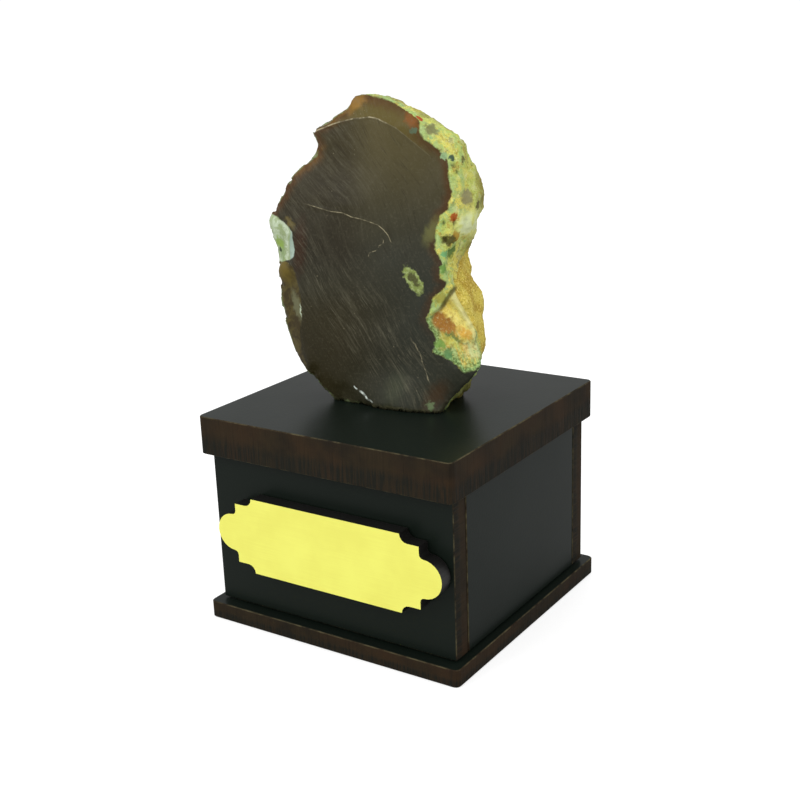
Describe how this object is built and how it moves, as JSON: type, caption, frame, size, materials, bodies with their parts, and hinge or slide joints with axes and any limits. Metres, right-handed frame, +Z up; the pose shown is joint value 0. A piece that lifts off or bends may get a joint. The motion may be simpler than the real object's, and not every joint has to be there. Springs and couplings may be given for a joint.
{
  "type": "rough agate on box stand",
  "caption": "Broken agate with a dark glossy face and a lumpy yellow-green rind, standing upright on a black box stand with a bare gold nameplate.",
  "frame": {"origin": "middle of the whole object's footprint, on the surface that it stands on", "axes": "+Z up, the nameplate and the stone's broken face towards -Y, +X to the right of the nameplate"},
  "size_m": [0.0532, 0.052, 0.0926],
  "materials": {
    "agate": "glossy broken face, rough rind",
    "black_board": "satin black facing with dark brown laser-cut edges",
    "nameplate": "satin gold face over a black core"
  },
  "bodies": {
    "root": {"agate": "agate", "top_board": "black_board", "front_panel": "black_board", "back_panel": "black_board", "left_side_panel": "black_board", "right_side_panel": "black_board", "base_board": "black_board", "nameplate": "nameplate"}
  },
  "joints": []
}
